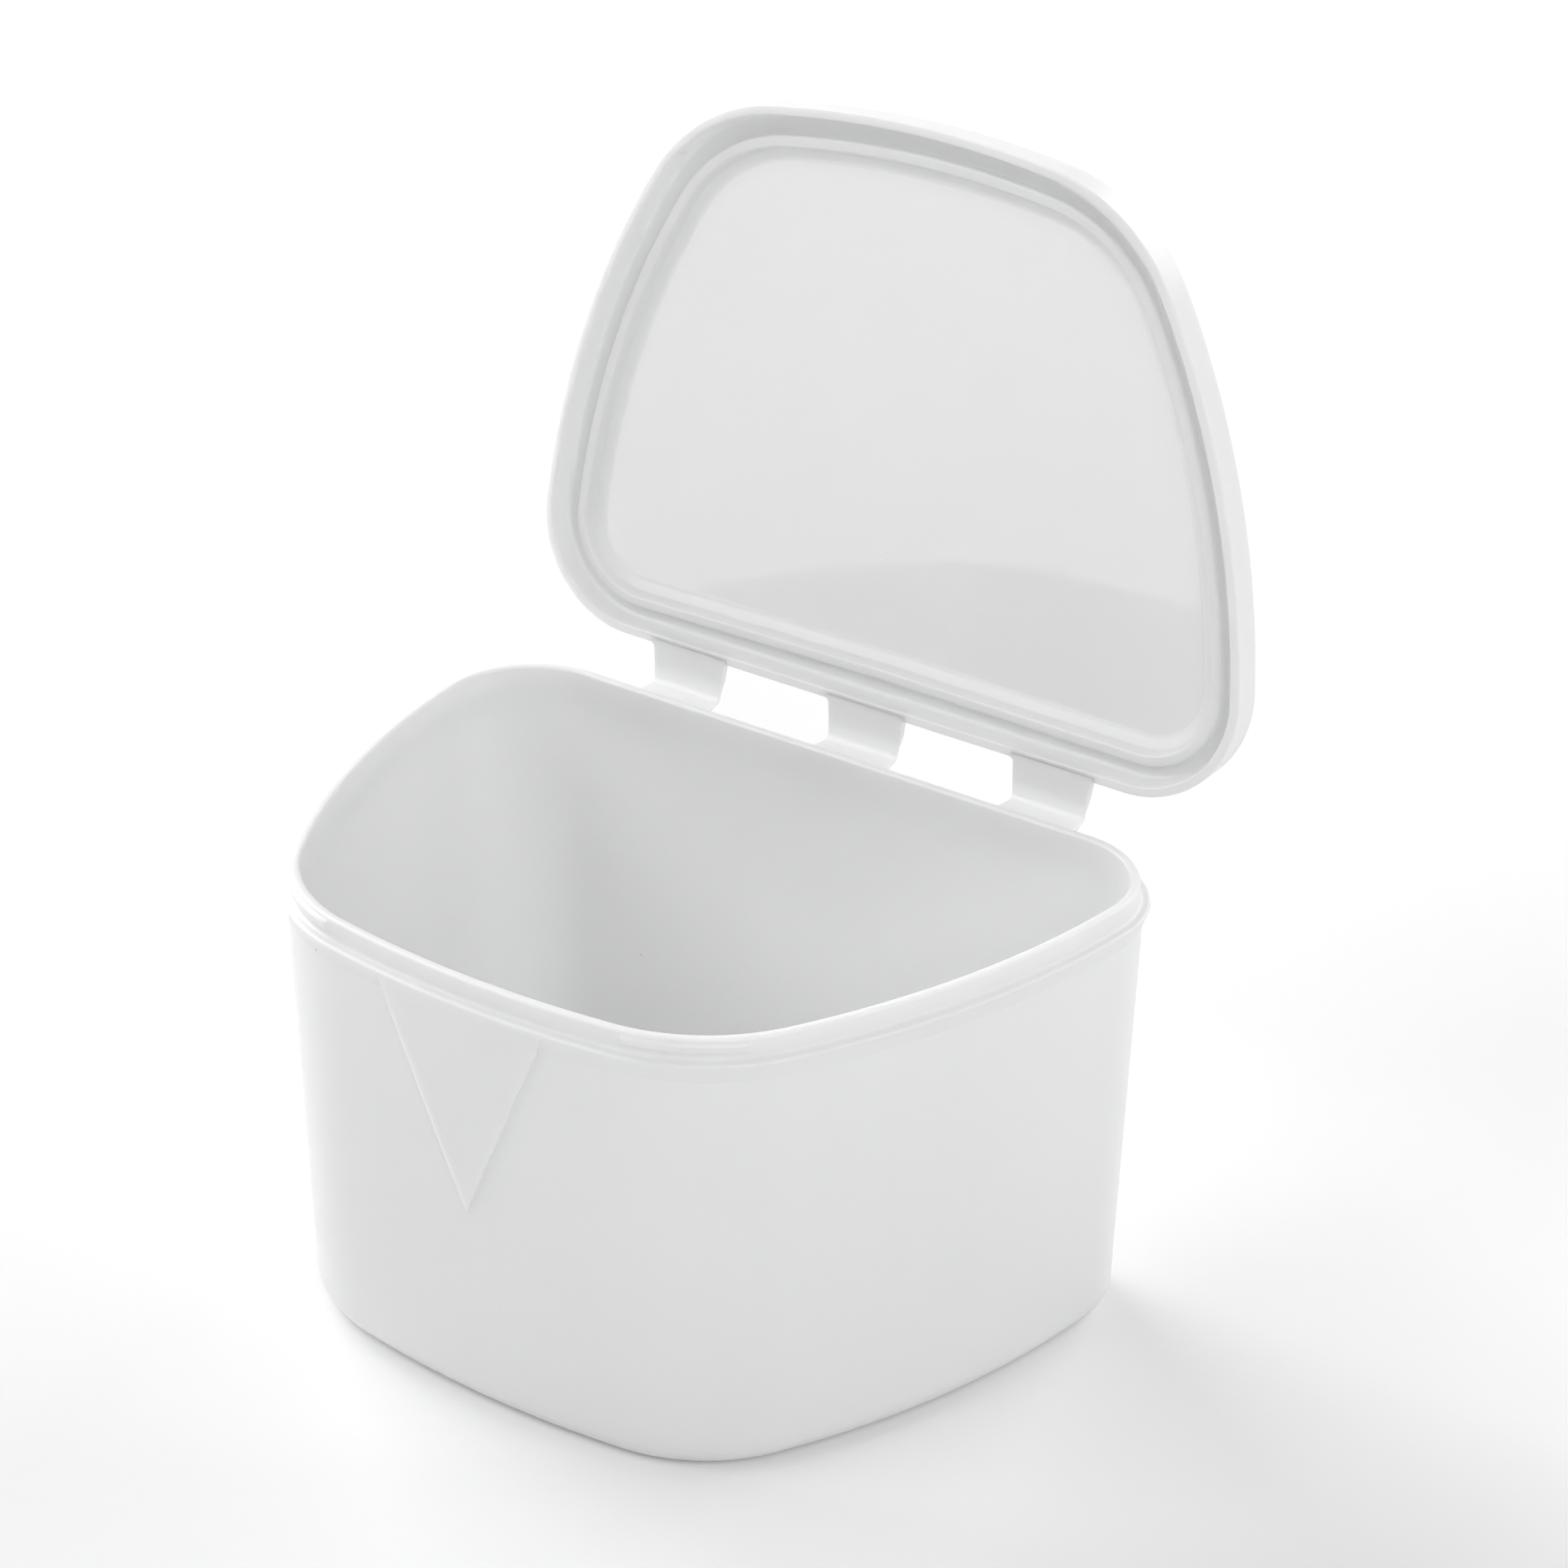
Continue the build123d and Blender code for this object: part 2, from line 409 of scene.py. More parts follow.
@dataclass(frozen=True)
class PlanOutline:
    """Half of the rim opening as a chain of tangent arcs, from the front round to the back."""

    front_y: float = -31.66 * MM
    front: Stretch = Stretch(122 * MM, 8.4, 6)
    front_corner: tuple[Stretch, ...] = (
        Stretch(20 * MM, 3.0, 2),
        Stretch(20 * MM, 1.6, 4),
        Stretch(20 * MM, 35.0, 18),
        Stretch(20 * MM, 0.5, 2),
        Stretch(20 * MM, 11.8, 7),
    )
    side: Stretch = Stretch(100 * MM, 24.7, 16)
    back_corner: Stretch = Stretch(10.4 * MM, 95.0, 34)

    def stretches(self) -> tuple[Stretch, ...]:
        """All the arcs, from the front to the back."""
        return (self.front, *self.front_corner, self.side, self.back_corner)

    def front_corner_centre(self) -> Vector:
        """Centre of the arcs of the right front corner."""
        turn = math.radians(self.front.turn)
        reach = self.front.radius - self.front_corner[0].radius
        ahead = self.front_y + self.front.radius - reach * math.cos(turn)
        return Vector((reach * math.sin(turn), ahead, 0))

    def arcs(self) -> list[tuple[Stretch, float, Vector]]:
        """Every arc with its heading at the start, in radians, and its centre."""
        arcs = []
        heading = 0.0
        point = Vector((0, self.front_y, 0))
        for stretch in self.stretches():
            centre = point + stretch.radius * Vector((-math.sin(heading), math.cos(heading), 0))
            arcs.append((stretch, heading, centre))
            heading += math.radians(stretch.turn)
            point = centre + stretch.radius * Vector((math.sin(heading), -math.cos(heading), 0))
        return arcs

    def back_end(self) -> Vector:
        """Where the last arc meets the straight back."""
        stretch, heading, centre = self.arcs()[-1]
        heading += math.radians(stretch.turn)
        return centre + stretch.radius * Vector((math.sin(heading), -math.cos(heading), 0))

    def grow_at(self, place: Vector) -> float:
        """Offset of a point from the opening outline, outward positive.

        Args:
            place: The point, on either side of the mirror plane.

        Returns:
            The offset.
        """
        for stretch, heading, centre in self.arcs():
            across, back = abs(place.x) - centre.x, place.y - centre.y
            angle = math.atan2(across, -back)
            if heading <= angle <= heading + math.radians(stretch.turn):
                return math.hypot(across, back) - stretch.radius
        return place.y - self.back_end().y

    def sweep(self) -> None:
        """Spin the selected section from the front to the mirror plane at the back."""
        for stretch, _, centre in self.arcs():
            bpy.ops.mesh.spin(
                steps=stretch.steps,
                angle=math.radians(stretch.turn),
                center=centre,
                axis=(0, 0, -1),
            )
        across = -self.back_end().x
        bpy.ops.mesh.extrude_region_move(TRANSFORM_OT_translate={"value": (across, 0, 0)})


@dataclass
class Bench:
    """A mesh being worked on in edit mode."""

    piece: bpy.types.Object

    @classmethod
    def start(cls, name: str, first: Vector) -> "Bench":
        """Begin a mesh with one point, in edit mode.

        Args:
            name: The piece's name.
            first: Where the point is.

        Returns:
            The bench, with the point selected.
        """
        if bpy.context.object and bpy.context.object.mode != "OBJECT":
            bpy.ops.object.mode_set(mode="OBJECT")
        bpy.ops.object.select_all(action="DESELECT")
        bpy.ops.mesh.primitive_plane_add(size=MM)
        piece = bpy.context.object
        piece.name = piece.data.name = name
        bpy.ops.object.mode_set(mode="EDIT")
        bpy.ops.mesh.select_mode(type="VERT")
        bpy.ops.mesh.select_all(action="SELECT")
        bpy.ops.mesh.merge(type="CENTER")
        bpy.ops.transform.translate(value=first)
        return cls(piece)

    def draw(self, points: Sequence[Vector]) -> None:
        """Extrude the selected point along a chain of points.

        Args:
            points: The chain, its first point being where the selected one is.
        """
        for before, after in zip(points, points[1:]):
            bpy.ops.mesh.extrude_region_move(TRANSFORM_OT_translate={"value": after - before})

    def select(self, test: Callable[[Vector], bool]) -> int:
        """Select the points that pass a test, and the edges and faces between them.

        Args:
            test: Takes a point's place and says whether it is chosen.

        Returns:
            How many points are selected.
        """
        mesh = bmesh.from_edit_mesh(self.piece.data)
        bpy.ops.mesh.select_all(action="DESELECT")
        for vert in mesh.verts:
            vert.select = bool(test(vert.co))
        mesh.select_flush(True)
        bmesh.update_edit_mesh(self.piece.data)
        return sum(vert.select for vert in mesh.verts)

    def select_faces(self, test: Callable[[Vector], bool]) -> int:
        """Select the faces whose middle passes a test.

        Args:
            test: Takes the middle of a face and says whether it is chosen.

        Returns:
            How many faces are selected.
        """
        bpy.ops.mesh.select_mode(type="FACE")
        mesh = bmesh.from_edit_mesh(self.piece.data)
        bpy.ops.mesh.select_all(action="DESELECT")
        for face in mesh.faces:
            face.select = bool(test(face.calc_center_median()))
        mesh.select_flush(True)
        bmesh.update_edit_mesh(self.piece.data)
        return sum(face.select for face in mesh.faces)

    def select_edges(self, test: Callable[[bmesh.types.BMEdge], bool]) -> int:
        """Select the edges that pass a test.

        Args:
            test: Takes an edge and says whether it is chosen.

        Returns:
            How many edges are selected.
        """
        bpy.ops.mesh.select_mode(type="EDGE")
        mesh = bmesh.from_edit_mesh(self.piece.data)
        bpy.ops.mesh.select_all(action="DESELECT")
        for edge in mesh.edges:
            edge.select = bool(test(edge))
        mesh.select_flush(True)
        bmesh.update_edit_mesh(self.piece.data)
        return sum(edge.select for edge in mesh.edges)

    def points_mode(self) -> None:
        """Go back to choosing by points."""
        bpy.ops.mesh.select_mode(type="VERT")

    def apply(self, kind: str, **settings: object) -> None:
        """Add a modifier and apply it, in object mode.

        Args:
            kind: The modifier's type, such as BEVEL.
            settings: Its attributes.
        """
        bpy.ops.object.mode_set(mode="OBJECT")
        modifier = self.piece.modifiers.new(kind.lower(), kind)
        for key, value in settings.items():
            setattr(modifier, key, value)
        bpy.ops.object.modifier_apply(modifier=modifier.name)
        bpy.ops.object.mode_set(mode="EDIT")
        self.points_mode()

    def finish(self, smooth_below: float = math.radians(32)) -> bpy.types.Object:
        """Turn all faces outward, smooth them and leave edit mode.

        Args:
            smooth_below: Edges that turn by less are smooth.

        Returns:
            The finished piece.
        """
        bpy.ops.mesh.select_all(action="SELECT")
        bpy.ops.mesh.remove_doubles(threshold=MERGE)
        bpy.ops.mesh.normals_make_consistent(inside=False)
        bpy.ops.object.mode_set(mode="OBJECT")
        bpy.ops.object.shade_smooth_by_angle(angle=smooth_below)
        weighted = self.piece.modifiers.new("weighted", "WEIGHTED_NORMAL")
        weighted.keep_sharp = True
        weighted.weight = 90
        bpy.ops.object.modifier_apply(modifier=weighted.name)
        bpy.ops.object.select_all(action="DESELECT")
        return self.piece


@dataclass
class Shell:
    """Moulded shell: one wall section swept along the plan outline and mirrored."""

    name: str
    outline: PlanOutline = field(default_factory=PlanOutline)
    core_grow: float = -7.5 * MM
    wall_slack: float = 0.06 * MM

    def sweep(self, corners: Sequence[Corner]) -> Bench:
        """Sweep a section into the right half of the shell.

        Args:
            corners: The wall section, from the core's outer face round to its inner one.

        Returns:
            The bench, in edit mode.
        """
        points = [
            Vector((0, self.outline.front_y - point.x, point.y))
            for point in rounded_section(corners)
        ]
        bench = Bench.start(self.name, points[0])
        bench.draw(points)
        bpy.ops.mesh.select_all(action="SELECT")
        self.outline.sweep()
        bpy.ops.mesh.select_all(action="SELECT")
        bpy.ops.mesh.remove_doubles(threshold=MERGE)
        return bench

    def close(self, bench: Bench, levels: Sequence[float]) -> None:
        """Mirror the half shell and close its outer and inner core faces.

        Args:
            bench: The half shell.
            levels: Heights of the two open core loops.
        """
        bench.apply("MIRROR", use_clip=True, use_mirror_merge=True, merge_threshold=SLACK)
        for level in levels:
            bpy.ops.mesh.select_all(action="DESELECT")
            bpy.ops.mesh.select_non_manifold(
                extend=False, use_multi_face=False, use_non_contiguous=False, use_verts=False
            )
            mesh = bmesh.from_edit_mesh(bench.piece.data)
            for vert in mesh.verts:
                if abs(vert.co.z - level) > SLACK:
                    vert.select = False
            mesh.select_flush_mode()
            bmesh.update_edit_mesh(bench.piece.data)
            bpy.ops.mesh.edge_face_add()

    def push_bead(self, bench: Bench, grow: float, proud: float, level: float) -> None:
        """Move one row of the right front corner, with a smooth ramp at the bead's front end.

        Args:
            bench: The half shell.
            grow: Offset of the wall that carries the bead.
            proud: How far the row moves outward, or inward if negative.
            level: Height of the row.
        """
        before, ramp, body = self.outline.front_corner[:3]
        wall = before.radius + grow
        first = math.radians(self.outline.front.turn + before.turn)
        starts = first + math.radians(ramp.turn)
        self._push(bench, wall, proud, level, (starts, starts + math.radians(body.turn)))
        for step in range(1, ramp.steps):
            share = step / ramp.steps
            column = first + share * math.radians(ramp.turn)
            smooth = share * share * (3 - 2 * share)
            self._push(bench, wall, smooth * proud, level, (column, column))

    def _push(
        self, bench: Bench, wall: float, proud: float, level: float, span: tuple[float, float]
    ) -> None:
        """Move the points of a row between two angles of the right front corner.

        Args:
            bench: The half shell.
            wall: Radius of the wall round the corner's centre.
            proud: How far the points move outward.
            level: Height of the row.
            span: First and last angle.
        """
        centre = self.outline.front_corner_centre()
        start, end = span

        def on_row(place: Vector) -> bool:
            """Whether a point is on the wall, in the row and in the span."""
            spoke = place - centre
            angle = math.atan2(spoke.x, -spoke.y)
            return (
                abs(math.hypot(spoke.x, spoke.y) - wall) < self.wall_slack
                and start - ANGLE_SLACK < angle < end + ANGLE_SLACK
                and level - SLACK < place.z < level + SLACK
            )

        if bench.select(on_row):
            scale = (wall + proud) / wall
            bpy.ops.transform.resize(value=(scale, scale, 1), center_override=centre)


@dataclass
class Tub(Shell):
    """Deep tub with a sloped shoulder, a neck with snap beads, and a raised thumb wedge."""

    name: str = "tub_shell"
    height: float = 53.7 * MM
    shoulder: float = 51.3 * MM
    wall_top: float = 48.9 * MM
    foot: float = 4.0 * MM
    floor: float = 1.7 * MM
    wall_rows: int = 9
    base_grow: float = 0.3 * MM
    wall_top_grow: float = 1.55 * MM
    shoulder_grow: float = 2.4 * MM
    neck_grow: float = 1.1 * MM
    floor_grow: float = -1.4 * MM
    base_round: float = 3.5 * MM
    crease_round: float = 0.35 * MM
    shoulder_round: float = 0.28 * MM
    neck_root_round: float = 0.5 * MM
    lip_round: float = 0.34 * MM
    cavity_round: float = 2.6 * MM
    bead_levels: tuple[float, ...] = (
        52.0 * MM, 52.14 * MM, 52.4 * MM, 52.95 * MM, 53.2 * MM, 53.33 * MM
    )
    bead_proud: tuple[float, ...] = (0.0, 0.16 * MM, 0.4 * MM, 0.4 * MM, 0.24 * MM, 0.0)
    wedge_half_width: float = 11.2 * MM
    wedge_tip: float = 25.7 * MM
    wedge_blend: float = 50.5 * MM
    wedge_tip_proud: float = 0.46 * MM
    wedge_top_proud: float = 0.52 * MM
    wedge_chamfer: float = 0.13 * MM
    wedge_margin: float = 6 * MM
    skin: float = 0.1 * MM

    def section(self) -> list[Corner]:
        """Wall section from the middle of the underside round to the middle of the floor."""
        blend_share = (self.wedge_blend - self.wall_top) / (self.shoulder - self.wall_top)
        blend_grow = self.wall_top_grow + blend_share * (self.shoulder_grow - self.wall_top_grow)
        rows = [
            Corner(
                self.base_grow + step / self.wall_rows * (self.wall_top_grow - self.base_grow),
                self.foot + step / self.wall_rows * (self.wall_top - self.foot),
            )
            for step in range(self.wall_rows)
        ]
        return [
            Corner(self.core_grow, 0),
            Corner(self.base_grow, 0, self.base_round),
            *rows,
            Corner(self.wall_top_grow, self.wall_top, self.crease_round),
            Corner(blend_grow, self.wedge_blend),
            Corner(self.shoulder_grow, self.shoulder, self.shoulder_round),
            Corner(self.neck_grow, self.shoulder, self.neck_root_round),
            *[Corner(self.neck_grow, level) for level in self.bead_levels],
            Corner(self.neck_grow, self.height, self.lip_round),
            Corner(0, self.height, self.lip_round),
            Corner(self.floor_grow, self.floor, self.cavity_round),
            Corner(self.core_grow, self.floor),
        ]

    def build(self) -> bpy.types.Object:
        """Model the tub.

        Returns:
            The finished piece.
        """
        bench = self.sweep(self.section())
        for level, proud in zip(self.bead_levels, self.bead_proud):
            if proud:
                self.push_bead(bench, self.neck_grow, proud, level)
        self.close(bench, (0, self.floor))
        self._raise_wedge(bench)
        return bench.finish()

    def _raise_wedge(self, bench: Bench) -> None:
        """Cut the wedge's two legs into the front wall and lift the triangle between them."""
        rise = self.wedge_blend - self.wedge_tip
        reach = self.wedge_half_width * rise / (self.shoulder - self.wedge_tip)
        front = self.outline.front_y
        for side in (-1, 1):
            normal = Vector((side * rise, 0, -reach)).normalized()
            bench.select_faces(
                lambda at: at.y < front and abs(at.x) < 1.4 * reach
                and self.wedge_tip - self.wedge_margin < at.z < self.wedge_blend
            )
            bpy.ops.mesh.bisect(plane_co=(0, 0, self.wedge_tip), plane_no=normal)

        def in_wedge(at: Vector) -> bool:
            """Whether a face's middle is between the legs and under the shoulder."""
            share = (at.z - self.wedge_tip) / rise
            return at.y < front - self.skin and 0 < share < 1 and abs(at.x) < share * reach

        bench.select_faces(in_wedge)
        bpy.ops.mesh.extrude_region()
        bench.points_mode()
        mesh = bmesh.from_edit_mesh(bench.piece.data)
        for vert in mesh.verts:
            if vert.select and vert.co.z > self.wedge_blend - SLACK:
                vert.select = False
        mesh.select_flush_mode()
        bmesh.update_edit_mesh(bench.piece.data)
        bpy.ops.transform.translate(value=(0, -self.wedge_tip_proud, 0))
        bpy.ops.transform.rotate(
            value=-math.atan((self.wedge_top_proud - self.wedge_tip_proud) / rise),
            orient_axis="X",
            center_override=(0, front, self.wedge_tip),
        )
        bench.select_edges(
            lambda edge: len(edge.link_faces) == 2
            and all(vert.co.y < front - self.skin for vert in edge.verts)
            and all(vert.co.z < self.wedge_blend + SLACK for vert in edge.verts)
            and edge.is_convex
            and edge.calc_face_angle() > math.radians(50)
            and all(abs(vert.co.x) < self.wedge_half_width + 1 * MM for vert in edge.verts)
            and all(vert.co.z > self.wedge_tip - 1 * MM for vert in edge.verts)
        )
        bpy.ops.mesh.bevel(offset=self.wedge_chamfer, segments=2, affect="EDGES")
        bench.points_mode()

    def dress(self, piece: bpy.types.Object, outside: Plastic, inside: Plastic) -> None:
        """Give the outside and the textured inside their finishes, and fix the piece to its body.

        Args:
            piece: The finished tub.
            outside: Finish of the outside, the shoulder and the neck.
            inside: Finish of the cavity.
        """
        piece.data.materials.append(outside.build())
        piece.data.materials.append(inside.build())
        for face in piece.data.polygons:
            if self._is_inside(face.center):
                face.material_index = 1
        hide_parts("tub")
        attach(piece, Body.TUB.value)

    def _is_inside(self, at: Vector) -> bool:
        """Whether a point is on the cavity's wall or floor, and not on the outside."""
        under_lip = self.floor - self.skin < at.z < self.height - self.lip_round
        return under_lip and self.outline.grow_at(at) < self.skin


@dataclass
class Lid(Shell):
    """Shallow lid with a skirt, snap beads, a channel for the neck, and a locating ring."""

    name: str = "lid_shell"
    rim: float = 51.54 * MM
    height: float = 5.0 * MM
    band: float = 3.6 * MM
    hollow: float = 3.9 * MM
    rim_grow: float = 2.6 * MM
    top_grow: float = 2.35 * MM
    skirt_inner_grow: float = 1.45 * MM
    skirt_root_grow: float = 1.35 * MM
    top_round: float = 1.3 * MM
    rim_round: float = 0.25 * MM
    skirt_root_round: float = 0.5 * MM
    channel: float = 3.05 * MM
    ring_outer_grow: float = -0.75 * MM
    ring_inner_grow: float = -1.95 * MM
    ring_face: float = 1.95 * MM
    ring_round: float = 0.32 * MM
    ring_shift: float = 0.4 * MM
    flank_fall: float = 0.75 * MM
    flank_foot: float = 0.45 * MM
    flank_width: float = 1.7 * MM
    panel_half_width: float = 45.07 * MM
    bead_levels: tuple[float, ...] = (0.24 * MM, 0.36 * MM, 0.52 * MM, 0.7 * MM)
    bead_proud: tuple[float, ...] = (-0.15 * MM, -0.22 * MM, -0.18 * MM, 0.0)
    groove_levels: tuple[float, ...] = (1.2 * MM, 1.9 * MM, 2.5 * MM)
    groove_proud: tuple[float, ...] = (0.33 * MM, 0.33 * MM, 0.0)
    hinge: Vector = field(default_factory=lambda: Vector((0, 38.9, 51.42)) * MM)
    open_angle: float = math.radians(95)

    def section(self) -> list[Corner]:
        """Wall section, with the lid shut, from the outer face round to the inner panel."""
        skirt_fall = (self.skirt_inner_grow - self.skirt_root_grow) / self.hollow
        rows = [
            Corner(self.skirt_inner_grow - skirt_fall * level, self.rim + level)
            for level in (*self.bead_levels, *self.groove_levels)
        ]
        panel = self.rim + self.hollow
        return [
            Corner(self.core_grow, self.rim + self.height),
            Corner(self.top_grow, self.rim + self.height, self.top_round),
            Corner(self.top_grow, self.rim + self.band),
            Corner(self.rim_grow, self.rim, self.rim_round),
            Corner(self.skirt_inner_grow, self.rim, self.rim_round * 0.8),
            *rows,
            Corner(self.skirt_root_grow, self.rim + self.channel, self.skirt_root_round),
            Corner(self.ring_outer_grow, self.rim + self.channel, self.ring_round),
            Corner(self.ring_outer_grow, self.rim + self.ring_face, self.ring_round),
            Corner(self.ring_inner_grow, self.rim + self.ring_face, self.ring_round),
            Corner(self.ring_inner_grow - self.flank_foot, panel - self.flank_fall, 0.6 * MM),
            Corner(self.ring_inner_grow - self.flank_width, panel, 1.6 * MM),
            Corner(self.core_grow, panel),
        ]

    def build(self) -> bpy.types.Object:
        """Model the lid shut, then turn it open about the hinge line.

        Returns:
            The finished piece.
        """
        bench = self.sweep(self.section())
        levels = (*self.bead_levels, *self.groove_levels)
        for level, proud in zip(levels, (*self.bead_proud, *self.groove_proud)):
            if proud:
                self.push_bead(bench, self.skirt_inner_grow, proud, self.rim + level)
        bench.select(self._is_ring)
        bpy.ops.transform.translate(value=(0, self.ring_shift, 0))
        self.close(bench, (self.rim + self.height, self.rim + self.hollow))
        bpy.ops.mesh.select_all(action="SELECT")
        bpy.ops.transform.rotate(
            value=self.open_angle, orient_axis="X", center_override=self.hinge
        )
        return bench.finish()

    def dress(self, piece: bpy.types.Object, outside: Plastic, inside: Plastic) -> None:
        """Give the skirt and the polished inner panel their finishes, and fix the piece.

        Args:
            piece: The finished lid.
            outside: Finish of the skirt, ring and outer face.
            inside: Finish of the panel inside the ring.
        """
        piece.data.materials.append(outside.build())
        piece.data.materials.append(inside.build())
        shut = Matrix.Translation(self.hinge) @ Matrix.Rotation(self.open_angle, 4, "X")
        shut = shut @ Matrix.Translation(-self.hinge)
        panel = self.rim + self.hollow
        for face in piece.data.polygons:
            at = shut @ face.center
            if abs(at.z - panel) < 0.03 * MM and self._in_ring(at):
                face.material_index = 1
        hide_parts("lid")
        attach(piece, Body.LID.value)

    def _is_ring(self, place: Vector) -> bool:
        """Whether a point of the half lid is on the locating ring or on its flank."""
        inside = place.z < self.rim + self.hollow + SLACK
        grow = self.outline.grow_at(place)
        return inside and self.core_grow + 0.5 * MM < grow < self.ring_outer_grow + 0.4 * MM

    def _in_ring(self, at: Vector) -> bool:
        """Whether a point of the shut lid is inside the locating ring."""
        spread = -self.ring_inner_grow
        back = -self.outline.front_y - spread
        half_width = self.panel_half_width - spread
        narrowing = (back - at.y) / (2 * back)
        return abs(at.y) < back and abs(at.x) < half_width * (1.02 - 0.25 * narrowing**2)


@dataclass
class Strap:
    """One hinge strap: tub leaf, folded film and lid leaf in one strip."""

    side: Side
    pitch: float = 25.3 * MM
    tub_width: float = 10.6 * MM
    fold_width: float = 9.6 * MM
    lid_width: float = 10.3 * MM
    face: float = 51.32 * MM
    tub_root: float = 33.7 * MM
    tub_wall: float = 34.06 * MM
    lid_wall: float = 34.26 * MM
    lid_overlap: float = 0.6 * MM
    tub_flare: float = 0.35 * MM
    lid_flare: float = 0.4 * MM
    leaf_taper: float = 2.2 * MM
    leaf_thickness: float = 1.0 * MM
    film_thickness: float = 0.4 * MM
    film_half: float = 0.6 * MM
    film_steps: int = 12
    edge_round: float = 0.16 * MM
    hinge: Vector = field(default_factory=lambda: Vector((0, 38.9, 51.42)) * MM)
    bend: float = math.radians(85)

    def build(self) -> bpy.types.Object:
        """Model the strap from the tub's wall, round the fold and up to the lid's wall.

        Returns:
            The finished piece.
        """
        centre_x = self.side.value * self.pitch
        half = self.tub_width / 2 + self.tub_flare
        corner = Vector((centre_x - half, self.tub_root, self.face))
        bench = Bench.start(f"hinge_strap_{self.side.name.lower()}", corner)
        thick = self.leaf_thickness
        self._across(bench, (2 * half, 0, 0))
        self._across(bench, (0, 0, -thick))
        self._across(bench, (-2 * half, 0, 0))
        bpy.ops.mesh.select_all(action="SELECT")
        bpy.ops.mesh.edge_face_add()
        bpy.ops.mesh.bevel(offset=self.edge_round, segments=3, affect="VERTICES")
        bench.points_mode()
        bpy.ops.mesh.select_all(action="SELECT")
        ahead = Vector((0, 1, 0))
        fold = self.hinge.y - self.film_half
        tub_side = self._leaf(self.tub_wall, self.tub_root, fold, self.tub_width, self.tub_flare)
        origin = Vector((centre_x, 0, self.face))
        size = self._lengthen(tub_side, origin, ahead, (2 * half, thick, self.tub_root))
        hub = Vector((centre_x, fold, self.face + self._fold_radius()))
        bpy.ops.mesh.spin(
            steps=self.film_steps, angle=self.bend, center=hub, axis=(-1, 0, 0)
        )
        up = Vector((0, math.cos(self.bend), math.sin(self.bend)))
        outward = Vector((0, math.sin(self.bend), -math.cos(self.bend)))
        fold_end = hub + self._fold_radius() * outward
        lid_root = self.lid_wall - self.lid_overlap
        lid_side = self._leaf(self.lid_wall, lid_root, fold, self.lid_width, self.lid_flare)
        lid_rows = [(fold - place, width, depth) for place, width, depth in reversed(lid_side)]
        lid_rows.append((fold - lid_root, self.lid_width + 2 * self.lid_flare, thick))
        self._lengthen(lid_rows[1:], fold_end, up, (size[0], size[1], 0.0))
        bpy.ops.mesh.edge_face_add()
        return bench.finish(math.radians(40))

    def _fold_radius(self) -> float:
        """Radius of the fold's inner face, which is tangent to both leaves."""
        return self.film_half / math.tan(self.bend / 2) + self.hinge.z - self.face

    def _across(self, bench: Bench, step: tuple[float, float, float]) -> None:
        """Extrude the selected point by one side of the strip's section.

        Args:
            bench: The strap's bench.
            step: The way to the section's next corner.
        """
        bpy.ops.mesh.extrude_region_move(TRANSFORM_OT_translate={"value": step})

    def _leaf(
        self, wall: float, root: float, fold: float, width: float, flare: float
    ) -> list[tuple[float, float, float]]:
        """Place, width and thickness of a leaf's sections, from its wall to the film.

        Args:
            wall: Where the face of the wall that carries it is.
            root: Where the leaf starts, inside the wall.
            fold: Where the film starts.
            width: The leaf's width past its flare.
            flare: Radius of the flare at the wall.

        Returns:
            The sections in order.
        """
        rows = []
        for angle in (8, 22, 38, 55, 72, 90):
            turn = math.radians(angle)
            place = wall + flare * (1 - math.cos(turn))
            rows.append((place, width + 2 * flare * (1 - math.sin(turn)), self.leaf_thickness))
        start = fold - self.leaf_taper
        first = rows[-1][0]
        for step in range(7):
            share = step / 6
            place = start + share * self.leaf_taper
            smooth = share * share * (3 - 2 * share)
            depth = self.leaf_thickness + smooth * (self.film_thickness - self.leaf_thickness)
            narrow = width + (place - first) / (fold - first) * (self.fold_width - width)
            rows.append((place, narrow, depth))
        return [row for row in rows if row[0] > root]

    def _lengthen(
        self,
        rows: list[tuple[float, float, float]],
        origin: Vector,
        ahead: Vector,
        size: tuple[float, float, float],
    ) -> tuple[float, float]:
        """Extrude the selected section along a leaf, through its rows.

        Args:
            rows: Place along the leaf, width and thickness of each section.
            origin: Point of the leaf's face where its place is 0.
            ahead: The leaf's direction.
            size: Width, thickness and place of the selected section.

        Returns:
            Width and thickness of the last section.
        """
        width, depth, place = size
        turn = math.atan2(ahead.z, ahead.y)
        frame = Matrix.Rotation(turn, 3, "X")
        for place_next, width_next, depth_next in rows:
            bpy.ops.mesh.extrude_region_move(
                TRANSFORM_OT_translate={"value": ahead * (place_next - place)}
            )
            bpy.ops.transform.resize(
                value=(width_next / width, 1, depth_next / depth),
                orient_matrix=frame.transposed(),
                orient_type="GLOBAL",
                orient_matrix_type="GLOBAL",
                center_override=origin + ahead * place_next,
            )
            width, depth, place = width_next, depth_next, place_next
        return width, depth

    def dress(self, piece: bpy.types.Object, finish: Plastic) -> None:
        """Give the strap its finish, hide the solids that it replaces and bake its placement into
        the mesh.

        Args:
            piece: The finished strap.
            finish: Finish of the whole strap.
        """
        piece.data.materials.append(finish.build())
        side = self.side.name.lower()
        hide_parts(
            f"tub_hinge_leaf_{side}", f"lid_hinge_leaf_{side}", f"hinge_film_{side}"
        )
        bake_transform(piece)


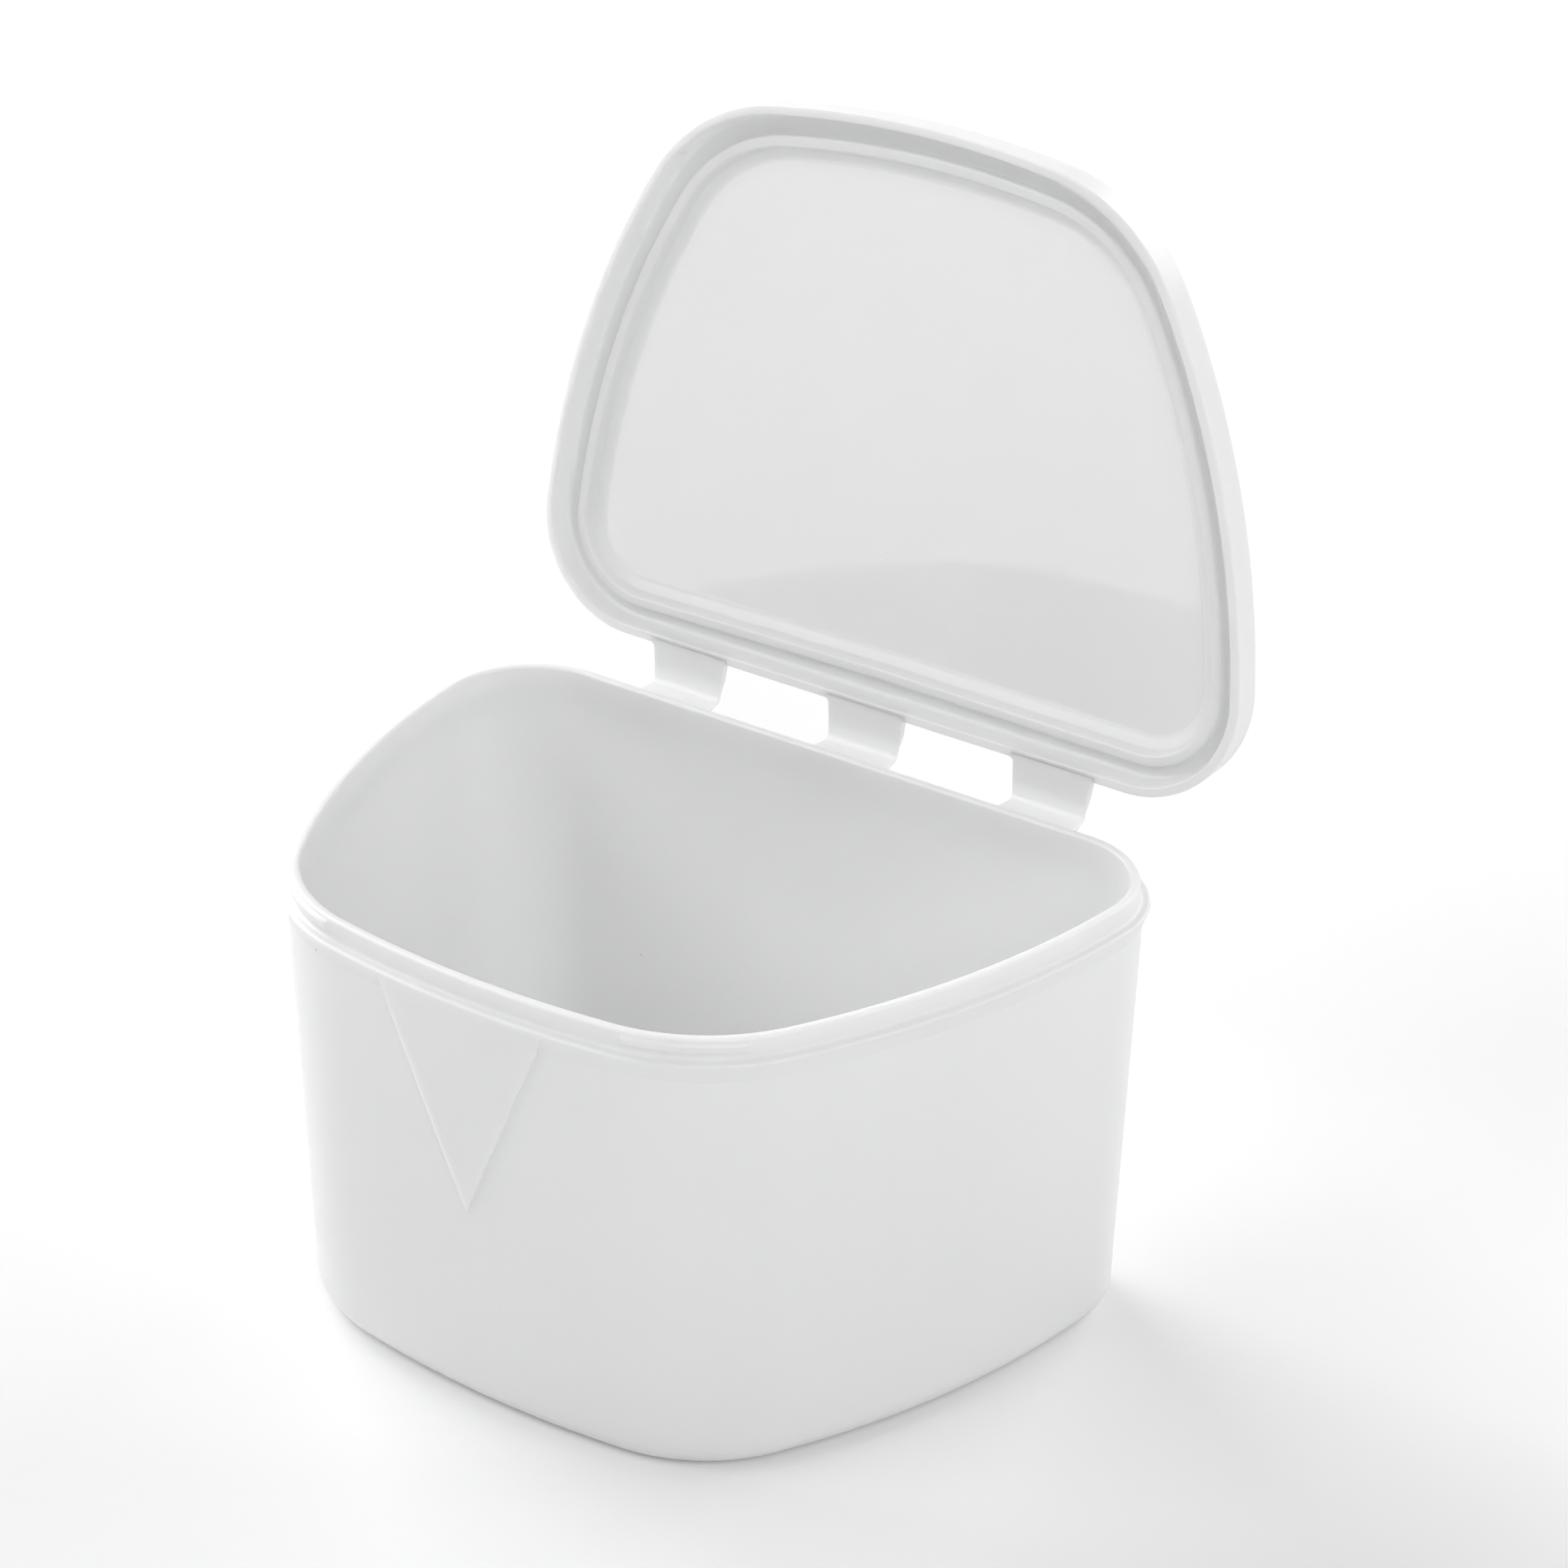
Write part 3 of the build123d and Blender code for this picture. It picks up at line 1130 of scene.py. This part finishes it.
@dataclass(frozen=True)
class Viewpoint:
    """Camera of the photograph, from a fit of the object's outlines."""

    azimuth: float = math.radians(35.48)
    elevation: float = math.radians(26.98)
    roll: float = math.radians(0.67)
    distance: float = 431.75 * MM
    focal_pixels: float = 4931.0
    across: float = 13.82 * MM
    up: float = 7.95 * MM
    target: Vector = field(default_factory=lambda: Vector((0, 0, 53.7)) * MM)

    def build(self) -> bpy.types.Object:
        """Place the camera.

        Returns:
            The scene's camera.
        """
        side, rise = math.sin(self.azimuth), math.sin(self.elevation)
        ahead = math.cos(self.azimuth) * math.cos(self.elevation)
        look = Vector((-side * math.cos(self.elevation), ahead, -rise))
        level = Vector((math.cos(self.azimuth), side, 0))
        over = level.cross(look)
        right = level * math.cos(self.roll) + over * math.sin(self.roll)
        top = over * math.cos(self.roll) - level * math.sin(self.roll)
        place = self.target - look * self.distance + right * self.across + top * self.up
        bpy.ops.object.camera_add()
        camera = bpy.context.object
        camera.name = "camera"
        rotation = Matrix((right, top, -look)).transposed().to_4x4()
        camera.matrix_world = Matrix.Translation(place) @ rotation
        camera.data.sensor_width = SENSOR * 1000
        camera.data.lens = self.focal_pixels / IMAGE_SIZE * SENSOR * 1000
        camera.data.clip_start = 10 * MM
        bpy.context.scene.camera = camera
        return camera


@dataclass(frozen=True)
class SoftLight:
    """Square soft light that looks at the case."""

    name: str
    place: tuple[float, float, float]
    size: float
    power: float

    def build(self) -> bpy.types.Object:
        """Add the light.

        Returns:
            The light.
        """
        bpy.ops.object.light_add(type="AREA", location=self.place)
        light = bpy.context.object
        light.name = self.name
        light.data.size = self.size
        light.data.energy = self.power
        aim = Vector((0, 0, 0.05)) - Vector(self.place)
        light.rotation_euler = aim.to_track_quat("-Z", "Y").to_euler()
        return light


@dataclass(frozen=True)
class Studio:
    """White room: pale floor, even sky and soft lights."""

    sky_strength: float = 0.042
    floor_size: float = 6.0
    floor_colour: float = 0.85
    floor_colour_change: float = 0.01
    floor_whitening: float = 0.09
    lights: tuple[SoftLight, ...] = (
        SoftLight("front_left_light", (-0.8, -1.0, 1.2), 1.0, 8.8),
        SoftLight("front_right_light", (1.0, -0.9, 1.2), 1.0, 9.6),
        SoftLight("left_light", (-1.6, 0.0, 0.7), 1.0, 11.3),
        SoftLight("right_light", (1.6, 0.1, 0.7), 1.0, 5.0),
        SoftLight("back_left_light", (-1.5, 0.5, 1.1), 1.0, 16.3),
        SoftLight("back_light", (0.2, 1.6, 0.9), 1.0, 9.9),
        SoftLight("back_right_light", (0.9, 1.2, 1.1), 1.0, 5.7),
    )

    def build(self) -> None:
        """Add the floor, the sky and the lights, and set the view."""
        scene = bpy.context.scene
        scene.view_settings.view_transform = "Standard"
        self._sky(scene)
        self._floor()
        for light in self.lights:
            light.build()

    def _seen(self, graph: Graph) -> Value:
        """1 for what the camera sees, directly or in a gloss or through a clear part, else 0."""
        path = graph.node("ShaderNodeLightPath")
        direct = path.out("Is Camera Ray") + path.out("Is Glossy Ray")
        return (direct + path.out("Is Transmission Ray")) > 0.5

    def _sky(self, scene: bpy.types.Scene) -> None:
        """Even white sky that the camera sees as plain white.

        Args:
            scene: The scene that gets the sky.
        """
        world = bpy.data.worlds.new("sky")
        scene.world = world
        world.use_nodes = True
        world.node_tree.nodes.clear()
        graph = Graph(world.node_tree)
        strength = self.sky_strength + self._seen(graph) * (1.0 - self.sky_strength)
        sky = graph.node("ShaderNodeBackground", None, {"Color": grey(1.0), "Strength": strength})
        graph.node("ShaderNodeOutputWorld", None, {"Surface": sky.out("Background")})

    def _floor(self) -> None:
        """Pale floor that keeps the case's shadow and is otherwise white to the camera."""
        bpy.ops.object.select_all(action="DESELECT")
        bpy.ops.mesh.primitive_plane_add(size=self.floor_size)
        floor = bpy.context.object
        floor.name = "floor"
        material = bpy.data.materials.new("floor_paint")
        material.use_nodes = True
        material.node_tree.nodes.clear()
        graph = Graph(material.node_tree)
        place = graph.node("ShaderNodeTexCoord").out("Object")
        cloud = graph.node("ShaderNodeTexNoise", None, {"Vector": place, "Scale": 2.0}).out(0)
        change = self.floor_colour_change
        colour = graph.mix_colour(
            cloud, grey(self.floor_colour - change), grey(self.floor_colour + change)
        )
        paint = graph.node(
            "ShaderNodeBsdfPrincipled",
            None,
            {
                "Base Color": colour,
                "Roughness": 0.9,
                "Emission Color": grey(1.0),
                "Emission Strength": self._seen(graph) * self.floor_whitening,
            },
        )
        graph.node("ShaderNodeOutputMaterial", None, {"Surface": paint.out("BSDF")})
        floor.data.materials.append(material)


def write_sizes() -> None:
    """Update the view layer, so that every placement is current.
    """
    bpy.context.view_layer.update()


def main() -> None:
    """Build the camera, the studio and every piece, in order."""
    logging.basicConfig(level=logging.INFO, format="%(name)s: %(message)s")
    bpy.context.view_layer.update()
    satin = Plastic("satin_polypropylene")
    textured = Plastic(
        "textured_polypropylene", roughness=0.5, grain_size=0.22 * MM, grain_depth=0.004 * MM
    )
    # Same polypropylene as the shells. The strap's lighter base colour is painted light, standing
    # in for light that the thin strap lets through.
    lit_web = Plastic(
        "hinge_polypropylene", colour=0.91, subsurface=0.8, subsurface_radius=0.5 * MM
    )
    polished = Plastic(
        "polished_polypropylene",
        colour=0.86,
        roughness=0.06,
        roughness_change=0.02,
        grain_depth=0.0002 * MM,
        ripple_depth=0.004 * MM,
        coat=1.0,
        coat_ior=1.85,
    )
    Viewpoint().build()
    Studio().build()
    tub = Tub()
    tub_piece = tub.build()
    tub.dress(tub_piece, satin, textured)
    LOG.info("%s: %d faces", tub_piece.name, len(tub_piece.data.polygons))
    lid = Lid()
    lid_piece = lid.build()
    lid.dress(lid_piece, satin, polished)
    LOG.info("%s: %d faces", lid_piece.name, len(lid_piece.data.polygons))
    for side in Side:
        strap = Strap(side)
        strap_piece = strap.build()
        strap.dress(strap_piece, lit_web)
        LOG.info("%s: %d faces", strap_piece.name, len(strap_piece.data.polygons))
    write_sizes()


if __name__ == "__main__":
    main()
